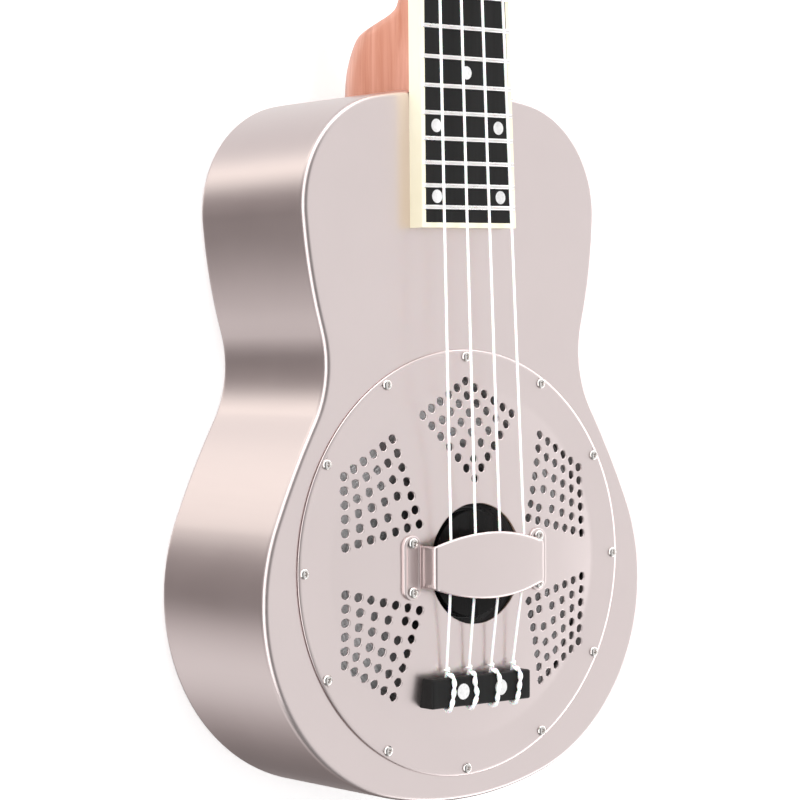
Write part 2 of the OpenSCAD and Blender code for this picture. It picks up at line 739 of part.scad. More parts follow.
// One trapezoid tooth, half as wide at its tip as at its root
tooth_root_r = 4.7;
tooth_tip_r = 6.3;
module tooth_area() {
    polygon([[-0.85, -tooth_root_r], [-0.62, -5.5], [-0.21, -tooth_tip_r],
             [0.21, -tooth_tip_r], [0.62, -5.5], [0.85, -tooth_root_r]]);
}

// Wheel, one of whose teeth points at the worm, and the screw that holds it
module tuner_wheel(n) {
    at_tuner(n) translate([0, 0, wheel_z - wheel_t / 2]) {
        color([0.80, 0.66, 0.36]) linear_extrude(wheel_t) difference() {
            union() {
                circle(tooth_root_r + 0.2);
                for (i = [0 : wheel_teeth - 1]) rotate(i * 360 / wheel_teeth) tooth_area();
            }
            circle(1.62);
        }
        color([0.83, 0.81, 0.80]) {
            translate([0, 0, -1.2]) difference() {
                cylinder(h = 1.2, r = 2.6);
                translate([-4, -0.35, -1]) cube([8, 0.7, 1.6]);
            }
            translate([0, 0, -eps]) cylinder(h = 3.6, r = 0.88, $fn = 24);
        }
    }
}

// Worm and its shaft, with a square end for the button
module tuner_worm(n) {
    color([0.83, 0.81, 0.80]) at_tuner(n) translate([0, worm_y, wheel_z]) rotate([0, 90, 0]) {
        // the thread's hollow faces the wheel at the middle of the worm
        rotate([0, 0, 270 - 180 * worm_turns]) translate([0, 0, -worm_l / 2])
            linear_extrude(worm_l, twist = -360 * worm_turns, slices = 12 * worm_turns, $fn = 16)
                translate([worm_swing, 0]) circle(worm_mean_r);
        translate([0, 0, -ear_x - ear_t - 0.6]) cylinder(h = button_x + ear_x + ear_t + 0.6, r = shaft_r);
        translate([0, 0, -ear_x - ear_t - 1.2]) cylinder(h = 0.9, r = 2.2);
        translate([-square_half, -square_half, button_x - eps]) cube([2 * square_half, 2 * square_half, 10]);
    }
}

button_l = 15;
module tuner_button(n) {
    color([0.95, 0.93, 0.86]) at_tuner(n) translate([button_x, worm_y, wheel_z]) rotate([0, 90, 0])
        difference() {
            union() {
                cylinder(h = 4, r1 = 2.6, r2 = 3.2);
                intersection() {
                    translate([0, 0, 2 + button_l / 2]) scale(button_l / 2) sphere(1, $fn = 64);
                    translate([-3.2, -far / 2, 0]) cube([6.4, far, 40]);
                }
            }
            translate([-square_half, -square_half, -1]) cube([2 * square_half, 2 * square_half, 11.1]);
        }
}

// Turns of string on the post
module string_winding(n) {
    steps = 20;
    pitch = string_d + 0.05;
    path = [for (k = [0 : steps * wrap_count]) let (a = 360 * k / steps)
        [wrap_r * cos(a), wrap_r * sin(a), wrap_z + pitch * (k / steps - wrap_count / 2)]];
    color([0.97, 0.97, 0.96]) at_tuner(n) cord(path, string_d, [0, 0, 1]);
}

top_plate();
back_plate();
left_side();
right_side();
soundwell();
cone();
biscuit();
biscuit_screw();
saddle();
coverplate();
coverplate_screws();
palm_rest();
palm_rest_screws();
palm_rest_nuts();
tie_block();
tie_block_bolts();
tie_block_nuts();
tie_block_dots();
neck();
headplate();
neck_stick();
stick_blocks();
strap_button();
fingerboard();
fingerboard_binding();
frets();
position_dots();
nut();
string_1();
string_2();
string_3();
string_4();
tuner_bushings();
tuner_screws();
tuner_plate(0);  // tuner_plate_1
tuner_plate(1);  // tuner_plate_2
tuner_plate(2);  // tuner_plate_3
tuner_plate(3);  // tuner_plate_4
string_post(0);  // string_post_1
string_post(1);  // string_post_2
string_post(2);  // string_post_3
string_post(3);  // string_post_4
tuner_wheel(0);  // tuner_wheel_1
tuner_wheel(1);  // tuner_wheel_2
tuner_wheel(2);  // tuner_wheel_3
tuner_wheel(3);  // tuner_wheel_4
tuner_worm(0);  // tuner_worm_1
tuner_worm(1);  // tuner_worm_2
tuner_worm(2);  // tuner_worm_3
tuner_worm(3);  // tuner_worm_4
tuner_button(0);  // tuner_button_1
tuner_button(1);  // tuner_button_2
tuner_button(2);  // tuner_button_3
tuner_button(3);  // tuner_button_4
string_winding(0);  // string_winding_1
string_winding(1);  // string_winding_2
string_winding(2);  // string_winding_3
string_winding(3);  // string_winding_4
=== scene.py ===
import json
import math

import bmesh
import bpy
from mathutils import Matrix, Vector, noise
from mathutils.geometry import delaunay_2d_cdt


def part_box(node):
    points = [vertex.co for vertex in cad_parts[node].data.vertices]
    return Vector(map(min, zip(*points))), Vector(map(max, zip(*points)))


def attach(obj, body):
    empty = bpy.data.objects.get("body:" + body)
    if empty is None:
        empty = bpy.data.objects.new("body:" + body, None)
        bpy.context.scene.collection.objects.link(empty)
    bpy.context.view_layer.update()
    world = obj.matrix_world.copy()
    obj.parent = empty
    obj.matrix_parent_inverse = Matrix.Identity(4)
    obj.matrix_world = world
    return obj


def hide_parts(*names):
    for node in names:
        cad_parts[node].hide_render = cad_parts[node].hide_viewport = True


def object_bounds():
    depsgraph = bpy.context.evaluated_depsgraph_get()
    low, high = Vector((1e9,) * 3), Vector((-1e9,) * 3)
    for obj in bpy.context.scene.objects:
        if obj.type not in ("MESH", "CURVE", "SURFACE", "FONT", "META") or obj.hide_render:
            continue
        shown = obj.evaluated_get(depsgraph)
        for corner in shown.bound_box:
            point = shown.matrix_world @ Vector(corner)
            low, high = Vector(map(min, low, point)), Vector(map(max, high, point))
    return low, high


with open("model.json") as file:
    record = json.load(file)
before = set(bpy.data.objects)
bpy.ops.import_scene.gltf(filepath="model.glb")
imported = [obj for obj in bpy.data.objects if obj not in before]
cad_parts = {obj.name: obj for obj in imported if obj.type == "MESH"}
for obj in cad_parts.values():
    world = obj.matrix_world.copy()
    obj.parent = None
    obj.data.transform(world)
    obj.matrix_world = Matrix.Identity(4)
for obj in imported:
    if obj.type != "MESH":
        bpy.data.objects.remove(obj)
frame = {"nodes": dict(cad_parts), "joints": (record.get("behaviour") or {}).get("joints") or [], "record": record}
CAD_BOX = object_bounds()
NODES = frame["nodes"]
RECORD = frame["record"]
MM = 0.001
# noise scales, in cycles a metre along X, Y and Z
BRUSHED = (900, 900, 40)
PORES = (900, 30, 900)

# ---------------------------------------------------------------- materials


def node_tree(name):
    """A new material, its node tree and its shader."""
    mat = bpy.data.materials.new(name)
    mat.use_nodes = True
    tree = mat.node_tree
    return mat, tree, tree.nodes["Principled BSDF"]


def add(tree, kind, **values):
    """A node with its attributes and its inputs set."""
    node = tree.nodes.new("ShaderNode" + kind)
    for key, value in values.items():
        if hasattr(node, key):
            setattr(node, key, value)
        else:
            node.inputs[key.replace("_", " ")].default_value = value
    return node


def place(tree, scale=(1, 1, 1)):
    """Object coordinates, scaled."""
    coords = add(tree, "TexCoord")
    mapping = add(tree, "Mapping")
    mapping.inputs["Scale"].default_value = scale
    tree.links.new(coords.outputs["Object"], mapping.inputs["Vector"])
    return mapping.outputs["Vector"]


def noise_at(tree, vector, scale, detail=3.0, roughness=0.5, distortion=0.0):
    tex = add(tree, "TexNoise", Scale=scale, Detail=detail, Roughness=roughness,
              Distortion=distortion)
    tree.links.new(vector, tex.inputs["Vector"])
    return tex.outputs["Fac"]


def spread(tree, value, low, high, start=0.3, end=0.7):
    """value mapped from start..end to low..high."""
    node = add(tree, "MapRange")
    node.inputs["From Min"].default_value = start
    node.inputs["From Max"].default_value = end
    node.inputs["To Min"].default_value = low
    node.inputs["To Max"].default_value = high
    tree.links.new(value, node.inputs["Value"])
    return node.outputs["Result"]


def tint(tree, value, *stops):
    """value through a colour ramp of (position, colour) stops."""
    ramp = add(tree, "ValToRGB")
    while len(ramp.color_ramp.elements) < len(stops):
        ramp.color_ramp.elements.new(0.5)
    for element, (position, colour) in zip(ramp.color_ramp.elements, stops):
        element.position = position
        element.color = (*colour, 1)
    tree.links.new(value, ramp.inputs["Fac"])
    return ramp.outputs["Color"]


def blended(tree, kind, first, second, amount=1.0):
    """Two colours blended; amount and the colours may be sockets."""
    node = add(tree, "Mix", data_type="RGBA", blend_type=kind)
    factor, below, above, result = node.inputs[0], node.inputs[6], node.inputs[7], node.outputs[2]
    tree.links.new(first, below)
    tree.links.new(second, above)
    if isinstance(amount, float):
        factor.default_value = amount
    else:
        tree.links.new(amount, factor)
    return result


def bump(tree, shader, height, distance):
    node = add(tree, "Bump", Strength=1.0, Distance=distance)
    tree.links.new(height, node.inputs["Height"])
    tree.links.new(node.outputs["Normal"], shader.inputs["Normal"])


def metal(name, colour, rough, relief=0.004, wear=0.04, vary=0.03, solid=1.0):
    """Polished or satin metal with fine grain, faint smears and a slight unevenness."""
    mat, tree, shader = node_tree(name)
    lines = noise_at(tree, place(tree, BRUSHED), 1.0, 2.0)
    smear = noise_at(tree, place(tree), 38.0, 4.0, 0.6)
    dull = tuple(c * (1 - wear) for c in colour)
    tree.links.new(tint(tree, smear, (0.35, dull), (0.65, colour)), shader.inputs["Base Color"])
    both = add(tree, "Math", operation="ADD")
    tree.links.new(spread(tree, lines, -vary, vary), both.inputs[0])
    tree.links.new(spread(tree, smear, rough - vary, rough + vary), both.inputs[1])
    tree.links.new(both.outputs["Value"], shader.inputs["Roughness"])
    shader.inputs["Metallic"].default_value = solid
    bump(tree, shader, lines, relief * MM)
    return mat


def wood(name, light, dark, rough, coat=0.0, across=160, specular=0.5, wander=0.4):
    """Wood with its grain along Y, under a film of lacquer."""
    mat, tree, shader = node_tree(name)
    grain = noise_at(tree, place(tree, (across, 6, across)), 1.0, 6.0, 0.6, wander)
    pores = noise_at(tree, place(tree, PORES), 1.0, 2.0)
    tree.links.new(tint(tree, grain, (0.3, dark), (0.7, light)), shader.inputs["Base Color"])
    tree.links.new(spread(tree, pores, rough - 0.06, rough + 0.06), shader.inputs["Roughness"])
    shader.inputs["Coat Weight"].default_value = coat
    shader.inputs["Coat Roughness"].default_value = 0.08
    shader.inputs["Specular IOR Level"].default_value = specular
    bump(tree, shader, pores, 0.02 * MM)
    return mat


def plain(name, low, high, rough, scale=60.0, coat=0.0, relief=0.01, see_in=0.0):
    """Plastic, bone or lacquer: a slight change of shade, and a fine surface."""
    mat, tree, shader = node_tree(name)
    shade = noise_at(tree, place(tree), scale, 3.0)
    fine = noise_at(tree, place(tree), 1500.0, 2.0)
    tree.links.new(tint(tree, shade, (0.3, low), (0.7, high)), shader.inputs["Base Color"])
    tree.links.new(spread(tree, shade, rough - 0.03, rough + 0.03), shader.inputs["Roughness"])
    shader.inputs["Coat Weight"].default_value = coat
    shader.inputs["Subsurface Weight"].default_value = see_in
    shader.inputs["Subsurface Scale"].default_value = 1.5 * MM
    bump(tree, shader, fine, relief * MM)
    return mat


NICKEL = (0.77, 0.675, 0.665)
FINISH = {
    "satin_nickel": metal("satin_nickel", NICKEL, 0.3, relief=0.0004, wear=0.015, vary=0.01),
    "inner_sheet": metal("inner_sheet", (0.42, 0.40, 0.39), 0.45),
    "spun_aluminium": metal("spun_aluminium", (0.96, 0.96, 0.97), 0.3, solid=0.5),
    "black_gloss_wood": wood("black_gloss_wood", (0.007, 0.006, 0.006), (0.004, 0.004, 0.004),
                             0.22, 0.05, specular=0.12),
    "black_satin_wood": wood("black_satin_wood", (0.0115, 0.011, 0.011), (0.005, 0.005, 0.005),
                             0.5, specular=0.22),
    "maple": wood("maple", (0.72, 0.54, 0.34), (0.58, 0.40, 0.22), 0.45, 0.2),
    "plated_steel": metal("plated_steel", (0.78, 0.75, 0.73), 0.08, vary=0.02),
    "fret_wire": metal("fret_wire", (0.93, 0.91, 0.90), 0.3),
    "pearl": plain("pearl", (0.58, 0.58, 0.58), (0.70, 0.69, 0.69), 0.3, 900.0, 0.3),
    "mahogany": wood("mahogany", (0.62, 0.30, 0.22), (0.40, 0.135, 0.07), 0.36, 0.4, across=120,
                     wander=1.4),
    "cream_binding": plain("cream_binding", (0.80, 0.74, 0.55), (0.84, 0.79, 0.62), 0.35, 30.0, 0.2),
    "bone": plain("bone", (0.88, 0.85, 0.76), (0.92, 0.90, 0.83), 0.35, 200.0, 0.2),
    "nylon": plain("nylon", (0.93, 0.93, 0.92), (0.96, 0.96, 0.95), 0.3, 300.0, 0.0, 0.0, 0.3),
    "brass": metal("brass", (0.80, 0.60, 0.28), 0.3),
    "cream_button": plain("cream_button", (0.86, 0.80, 0.64), (0.90, 0.86, 0.73), 0.3, 120.0, 0.3),
}



def painted_shade_round_axis(mat, inner, outer, low):
    """Painted shade: darkens a material's colour round the cone's axis, where less of the room shows in it under
    the coverplate.
    """
    tree = mat.node_tree
    base = tree.nodes["Principled BSDF"].inputs["Base Color"]
    away = add(tree, "VectorMath", operation="LENGTH")
    tree.links.new(place(tree, (1, 1, 0)), away.inputs[0])
    shade = spread(tree, away.outputs["Value"], low, 1.0, inner, outer)
    tree.links.new(blended(tree, "MULTIPLY", base.links[0].from_socket, shade), base)


# painted shade on the spun cone, darker towards its axis under the coverplate
painted_shade_round_axis(FINISH["spun_aluminium"], 38 * MM, 58 * MM, 0.12)

SLOT_OF = {entry["node"]: entry["material_slot"] for entry in RECORD["subparts"]}
BODY_OF = {node: body for body, nodes in RECORD["behaviour"]["bodies"].items() for node in nodes}

for name, obj in NODES.items():
    obj.data.materials.clear()
    obj.data.materials.append(FINISH[SLOT_OF[name]])

# ---------------------------------------------------------------- shape tools


def welded(node):
    """A CAD node's mesh with its doubled vertices joined."""
    bm = bmesh.new()
    bm.from_mesh(NODES[node].data)
    bmesh.ops.remove_doubles(bm, verts=bm.verts, dist=1e-6)
    bm.normal_update()
    return bm


def islands(faces):
    """The vertex positions of each connected group of faces."""
    left = set(faces)
    groups = []
    while left:
        front = [left.pop()]
        seen = set()
        while front:
            face = front.pop()
            for vert in face.verts:
                if vert not in seen:
                    seen.add(vert)
                    for other in vert.link_faces:
                        if other in left:
                            left.remove(other)
                            front.append(other)
        groups.append([v.co.copy() for v in seen])
    return groups


def span(points):
    """Lowest and highest corner of some points."""
    return (Vector([min(p[k] for p in points) for k in range(3)]),
            Vector([max(p[k] for p in points) for k in range(3)]))


def parts_of(node):
    """Boxes of a CAD node's separate solids, by their x and then y."""
    bm = welded(node)
    boxes = [span(g) for g in islands(bm.faces)]
    bm.free()
    return sorted(boxes, key=lambda b: (round(b[0].x, 3), round(b[0].y, 3)))


def middle(box):
    return (box[0] + box[1]) / 2


def piece(name, node, verts, faces, normals=None, sharp=40, also=()):
    """A mesh piece that stands for a CAD node, rides on its body and takes its finish."""
    mesh = bpy.data.meshes.new(name)
    mesh.from_pydata([tuple(v) for v in verts], [], faces)
    mesh.validate()
    if not normals:
        bm = bmesh.new()
        bm.from_mesh(mesh)
        bmesh.ops.recalc_face_normals(bm, faces=bm.faces)
        bm.to_mesh(mesh)
        bm.free()
    mesh.materials.append(FINISH[SLOT_OF[node]])
    mesh.shade_smooth()
    if normals:
        mesh.normals_split_custom_set_from_vertices([tuple(n) for n in normals])
    elif sharp:
        mesh.set_sharp_from_angle(angle=math.radians(sharp))
    obj = bpy.data.objects.new(name, mesh)
    bpy.context.scene.collection.objects.link(obj)
    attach(obj, BODY_OF[node])
    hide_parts(node, *also)
    return obj


class Shape:
    """Vertices and faces that are put together from strips."""

    def __init__(self):
        self.verts = []
        self.faces = []
        self.normals = []

    def ring(self, points, normals=None):
        start = len(self.verts)
        self.verts += [Vector(p) for p in points]
        self.normals += [Vector(n) for n in normals or [(0, 0, 1)] * len(points)]
        return list(range(start, len(self.verts)))

    def strip(self, a, b, closed=True):
        count = len(a)
        for k in range(count if closed else count - 1):
            n = (k + 1) % count
            self.faces.append((a[k], a[n], b[n], b[k]))

    def rings(self, loops, closed=True):
        made = [self.ring(loop) for loop in loops]
        for a, b in zip(made, made[1:]):
            self.strip(a, b, closed)
        return made

    def cap(self, loop):
        """A fan round the middle of a loop."""
        centre = sum((self.verts[k] for k in loop), Vector()) / len(loop)
        hub = self.ring([centre])[0]
        for k in range(len(loop)):
            self.faces.append((loop[k], loop[(k + 1) % len(loop)], hub))

    def fill(self, loops):
        """A flat face between loops at one height, as triangles."""
        flat = [self.verts[k].to_2d() for loop in loops for k in loop]
        index = [k for loop in loops for k in loop]
        edges = []
        start = 0
        for loop in loops:
            n = len(loop)
            edges += [(start + k, start + (k + 1) % n) for k in range(n)]
            start += n
        out, _, faces, origin, _, _ = delaunay_2d_cdt(flat, edges, [], 0, 1e-7)
        for face in faces:
            if any(not origin[k] for k in face):
                continue
            centre = sum((out[k] for k in face), Vector((0, 0))) / 3
            if sum(inside(centre, [self.verts[k] for k in loop]) for loop in loops) % 2:
                self.faces.append(tuple(index[origin[k][0]] for k in face))


def inside(point, loop):
    """Whether a point is within a loop, seen from above."""
    hit = False
    for a, b in zip(loop, loop[1:] + loop[:1]):
        if (a.y > point.y) != (b.y > point.y):
            if point.x < a.x + (point.y - a.y) * (b.x - a.x) / (b.y - a.y):
                hit = not hit
    return hit


def circle(centre, radius, z, count):
    return [Vector((centre.x + radius * math.cos(math.tau * k / count),
                    centre.y + radius * math.sin(math.tau * k / count), z)) for k in range(count)]


def lathe(shape, centre, profile, count):
    """Rings round a vertical axis from (radius, height) pairs."""
    return shape.rings([circle(centre, r, z, count) for r, z in profile])


def smooth_path(points, step):
    """Points at an even step along a Catmull-Rom curve through the given ones."""
    ends = [2 * points[0] - points[1]] + points + [2 * points[-1] - points[-2]]
    path = []
    for a, b, c, d in zip(ends, ends[1:], ends[2:], ends[3:]):
        count = max(1, round((c - b).length / step))
        for k in range(count):
            t = k / count
            path.append(0.5 * (2 * b + (c - a) * t + (2 * a - 5 * b + 4 * c - d) * t ** 2
                               + (3 * b - a - 3 * c + d) * t ** 3))
    return path + [points[-1]]


def rod(shape, path, radius, sides=10):
    """A round rod along a path, with a rounded tip at each end."""
    ways = [(after - before).normalized()
            for before, after in zip(path[:1] + path[:-1], path[1:] + path[-1:])]
    across = ways[0].orthogonal()
    loops = []
    for point, along in zip(path, ways):
        across = (across - across.dot(along) * along).normalized()
        other = along.cross(across)
        loops.append([point + radius * (math.cos(math.tau * j / sides) * across
                                        + math.sin(math.tau * j / sides) * other)
                      for j in range(sides)])
    tip = [path[0] + 0.6 * (p - path[0]) - 0.5 * radius * ways[0] for p in loops[0]]
    end = [path[-1] + 0.6 * (p - path[-1]) + 0.5 * radius * ways[-1] for p in loops[-1]]
    made = shape.rings([tip] + loops + [end])
    shape.cap(made[0][::-1])
    shape.cap(made[-1])


# ---------------------------------------------------------------- body

TOP_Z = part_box("top_plate")[1].z
EDGE_R = 2.8 * MM
WAIST = Vector((0, 60 * MM))


def body_outline(step=1.6 * MM):
    """The body's edge, seen from above, and its outward normals."""
    found = {}
    for node in ("left_side", "right_side"):
        bm = welded(node)
        for face in bm.faces:
            out = (face.calc_center_median().to_2d() - WAIST).normalized()
            if abs(face.normal.z) < 0.1 and face.normal.to_2d().dot(out) > 0.3:
                for v in face.verts:
                    found[(round(v.co.x, 5), round(v.co.y, 5))] = v.co.to_2d()
        bm.free()
    points = sorted(found.values(), key=lambda p: math.atan2(p.y - WAIST.y, p.x - WAIST.x))
    kept = [points[0]]
    for p in points[1:]:
        if (p - kept[-1]).length > 0.8 * MM:
            kept.append(p)
    # the curve runs past its start at both ends, and is cut where it comes round again
    path = smooth_path(kept[-3:] + kept + kept[:3], step)
    first = min(range(len(path) // 3), key=lambda k: (path[k] - kept[0]).length)
    last = min(range(len(path) // 2, len(path)), key=lambda k: (path[k] - kept[0]).length)
    path = path[first:last]
    count = len(path)
    lines = [(path[(k + 2) % count] - path[k - 2]).normalized() for k in range(count)]
    return path, [Vector((t.y, -t.x)) for t in lines]


OUTLINE, OUTWARD = body_outline()


def edge_loop(inset, z):
    return [(p - n * inset).to_3d() + Vector((0, 0, z)) for p, n in zip(OUTLINE, OUTWARD)]


def rolled(top, sign):
    """Profile of a flat face that is rolled over at its edge, from the inside out."""
    crown = [(d * MM, top - sign * 0.12 * MM * ((14 - d) / 12) ** 2)
             for d in (14, 11, 8, 6, 4.5, 3.4)]
    start = top - sign * 0.14 * MM
    arc = [(EDGE_R * (1 - math.sin(a)), start - sign * EDGE_R * (1 - math.cos(a)))
           for a in (math.radians(d) for d in (0, 6, 14, 23, 33, 44, 55, 66, 78, 90))]
    return crown + arc


def face_plate(name, node, z, sign, hole_r):
    """A flat sheet of the body that faces up (sign 1) or down, with or without a round hole."""
    shape = Shape()
    loops = [edge_loop(d, h) for d, h in rolled(z, sign)]
    made = shape.rings(loops if sign > 0 else [loop[::-1] for loop in loops])
    inner = [made[0]]
    if hole_r:
        inner.append(shape.ring(circle(Vector((0, 0)), hole_r, loops[0][0].z, 160)))
        lip = shape.ring(circle(Vector((0, 0)), hole_r, loops[0][0].z - sign * 1.0 * MM, 160))
        shape.strip(inner[1], lip)
    shape.fill(inner)
    obj = piece(name, node, shape.verts, shape.faces, sharp=50)
    bm = bmesh.new()
    bm.from_mesh(obj.data)
    up = sum(f.normal.z * f.calc_area() for f in bm.faces)
    if up * sign < 0:
        bmesh.ops.reverse_faces(bm, faces=bm.faces)
    bm.to_mesh(obj.data)
    bm.free()
    obj.data.shade_smooth()
    obj.data.set_sharp_from_angle(angle=math.radians(50))


bm = welded("top_plate")
WELL_R = min(v.co.to_2d().length for v in bm.verts)
bm.free()
face_plate("body_top", "top_plate", TOP_Z, 1, WELL_R)
face_plate("body_back", "back_plate", 0.0, -1, 0)

for side, sign in (("left_side", -1), ("right_side", 1)):
    keep = [k for k in range(len(OUTLINE)) if OUTLINE[k].x * sign > -0.8 * MM]
    start = next(i for i, k in enumerate(keep) if (k - 1) % len(OUTLINE) not in set(keep))
    keep = keep[start:] + keep[:start]
    shape = Shape()
    low = EDGE_R + 0.14 * MM
    heights = [low + (TOP_Z - 2 * low) * k / 5 for k in range(6)]
    loops = [[OUTLINE[k].to_3d() + Vector((0, 0, z)) for k in keep] for z in heights]
    inside_loops = [[(OUTLINE[k] - OUTWARD[k] * MM).to_3d() + Vector((0, 0, z)) for k in keep]
                    for z in heights[::-1]]
    shape.rings(loops + inside_loops, closed=False)
    piece("body_" + side, side, shape.verts, shape.faces)

# ---------------------------------------------------------------- coverplate


def sphere_through(r0, z0, r1, z1):
    """Radius and centre height of the sphere on the axis through two (radius, height) points."""
    # both points are one radius from the centre
    centre = (r1 ** 2 - r0 ** 2 + z1 ** 2 - z0 ** 2) / (2 * (z1 - z0))
    return math.hypot(r0, z0 - centre), centre


bm = welded("coverplate")
radii = [(v.co.to_2d().length, v.co.z) for v in bm.verts]
COVER_R = max(r for r, z in radii)
RING_Z = max(z for r, z in radii if r > COVER_R - 0.1 * MM)
DOME_R = min(r for r, z in radii if abs(z - RING_Z) < 0.02 * MM and r > 0.6 * COVER_R)
OPEN_R = min(r for r, z in radii)
OPEN_Z = max(z for r, z in radii if r < OPEN_R + 1.2 * MM)
walls = [g for g in islands([f for f in bm.faces if abs(f.normal.z) < 0.3])
         if span(g)[1].x - span(g)[0].x < 8 * MM]
bm.free()
widths = sorted((span(g)[1].x - span(g)[0].x) / 2 for g in walls)
SOUND_R = widths[len(widths) // 2]
FEET = parts_of("palm_rest_screws")


def hole_of(group):
    """Centre and radius of a hole, without the part of a screw's hole that runs into it."""
    low, high = span(group)
    centre, radius = (low + high).to_2d() / 2, (high.x - low.x) / 2
    if radius > 1.1 * SOUND_R:
        rim = [p.to_2d() for p in group
               if all((p - middle(b)).to_2d().length > 1.45 * MM for b in FEET)]
        for _ in range(60):
            pull = [(p - centre) * (1 - SOUND_R / (p - centre).length) for p in rim]
            centre = centre + 2 * sum(pull, Vector((0, 0))) / len(rim)
        radius = SOUND_R
    return centre, radius


HOLES = [hole_of(g) for g in walls]
DOME_BALL, DOME_CENTRE = sphere_through(DOME_R, RING_Z, OPEN_R, OPEN_Z)
SHEET = 1.0 * MM


def cover_at(p):
    """Height and upward normal of the coverplate over a point."""
    r = p.length
    if r > DOME_R:
        return RING_Z, Vector((0, 0, 1))
    z = DOME_CENTRE + math.sqrt(DOME_BALL ** 2 - r ** 2)
    up = Vector((p.x, p.y, z - DOME_CENTRE)).normalized()
    blend = min(1.0, (DOME_R - r) / (2.5 * MM))
    return z, Vector((0, 0, 1)).lerp(up, blend).normalized()


def cover_plate():
    shape = Shape()

    def loop_at(points, drop, normal_of):
        verts, normals = [], []
        for p in points:
            z, up = cover_at(p)
            verts.append(Vector((p.x, p.y, z)) - up * drop)
            normals.append(normal_of(p, up))
        return shape.ring(verts, normals)

    def round_edge(centre, radius, count, outside):
        """A softened edge through the sheet, and its loops on the upper and lower skins."""
        side = -1 if outside else 1
        # distance in from the edge, drop in the sheet and lean of the surface
        rim = [(0.65, 0, 0.0), (0.45, 0.03, 0.25), (0.25, 0.1, 0.5), (0.1, 0.24, 0.85),
               (0, 0.45, 1.3), (0, 0.8, 1.57), (0.05, 0.95, 2.2), (0.3, 1.0, 3.14)]
        if outside:
            rim = [(1.75, 0, 0.0), (1.5, 0.02, 0.22), (0.95, 0.12, 0.36), (0.5, 0.24, 0.5),
                   (0.18, 0.36, 0.9), (0.02, 0.45, 1.35), (0.02, 0.5, 1.8), (0.2, 0.55, 2.6),
                   (0.9, 0.58, 3.1), (1.2, 1.0, 3.14)]
        made = []
        for out, drop, lean in rim:
            ring = [p.to_2d() for p in circle(centre, radius + side * out * MM, 0, count)]

            def normal_of(p, up, lean=lean):
                away = (centre - p).normalized().to_3d() * side
                return (up * math.cos(lean) + away * math.sin(lean)).normalized()
            made.append(loop_at(ring, drop * MM, normal_of))
        for a, b in zip(made, made[1:]):
            if outside:
                shape.strip(b, a)
            else:
                shape.strip(a, b)
        return made[0], made[-1]

    origin = Vector((0, 0))
    edges = [round_edge(origin, COVER_R, 256, True), round_edge(origin, OPEN_R, 160, False)]
    for centre, radius in HOLES:
        edges.append(round_edge(centre, radius, 28, False))
    for skin, sign in ((0, 1), (1, -1)):
        drop = 0 if sign > 0 else SHEET

        def up_or_down(p, up):
            return up * sign
        loops = [e[skin] for e in edges]
        extra = []
        for r in [DOME_R + 0.3 * MM, DOME_R - 0.05 * MM, DOME_R - 1.2 * MM, DOME_R - 2.5 * MM] + [
                k * MM for k in range(28, 75, 6)]:
            for q in circle(origin, r, 0, 144):
                p = q.to_2d()
                if all((p - c).length > h + 1.0 * MM for c, h in HOLES):
                    extra.append(p)
        points = loop_at(extra, drop, up_or_down)
        flat, index, lines = [], [], []
        for loop in loops:
            n, start = len(loop), len(flat)
            lines += [(start + k, start + (k + 1) % n) for k in range(n)]
            flat += [shape.verts[k].to_2d() for k in loop]
            index += loop
        flat += [shape.verts[k].to_2d() for k in points]
        index += points
        out, _, faces, source, _, _ = delaunay_2d_cdt(flat, lines, [], 0, 1e-7)
        margin = 0.1 * MM
        for face in faces:
            if any(not source[k] for k in face):
                continue
            c = sum((out[k] for k in face), origin.copy()) / 3
            if c.length < OPEN_R + margin or any((c - h).length < r + margin for h, r in HOLES):
                continue
            ids = [index[source[k][0]] for k in face]
            a, b, d = (shape.verts[k] for k in ids)
            if ((b - a).cross(d - a)).z * sign < 0:
                ids.reverse()
            shape.faces.append(tuple(ids))
    return piece("cover_plate", "coverplate", shape.verts, shape.faces, shape.normals)


cover_plate()

# ---------------------------------------------------------------- cone


def cone():
    """The spun cone, with the fine rings that the tool leaves on it."""
    bm = welded("cone")
    skin = {}
    for v in bm.verts:
        r = round(v.co.to_2d().length, 4)
        skin[r] = max(skin.get(r, 0), v.co.z)
    bm.free()
    radii = sorted(skin)
    shape = Shape()
    inner, outer = radii[0], radii[-1]
    step = 0.3 * MM
    profile = []
    for k in range(int((outer - inner) / step) + 1):
        r = inner + k * step
        low = max((q for q in radii if q <= r + 1e-6), default=inner)
        high = min((q for q in radii if q >= r - 1e-6), default=outer)
        f = 0 if high == low else (r - low) / (high - low)
        z = skin[low] + f * (skin[high] - skin[low])
        profile.append((max(r, 0.2 * MM), z - 0.05 * MM * (1 - math.cos(math.tau * k / 5))))
    lathe(shape, Vector((0, 0)), profile, 160)
    piece("spun_cone", "cone", shape.verts, shape.faces, sharp=60)


cone()

# ---------------------------------------------------------------- hand rest

REST_LOW, REST_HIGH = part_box("palm_rest")
FOOT_AXIS = (middle(FEET[1]) - middle(FEET[0])).to_2d().normalized()
TURN = math.atan2(-FOOT_AXIS.x, FOOT_AXIS.y)
FOOT_X = (middle(FEET[2]) - middle(FEET[0])).length / 2
FOOT_TOP = REST_HIGH.z - 10.28 * MM


def on_cover(x, y, z):
    """A point given in the coverplate's own turned axes."""
    return Vector((x * math.cos(TURN) - y * math.sin(TURN),
                   x * math.sin(TURN) + y * math.cos(TURN), z))


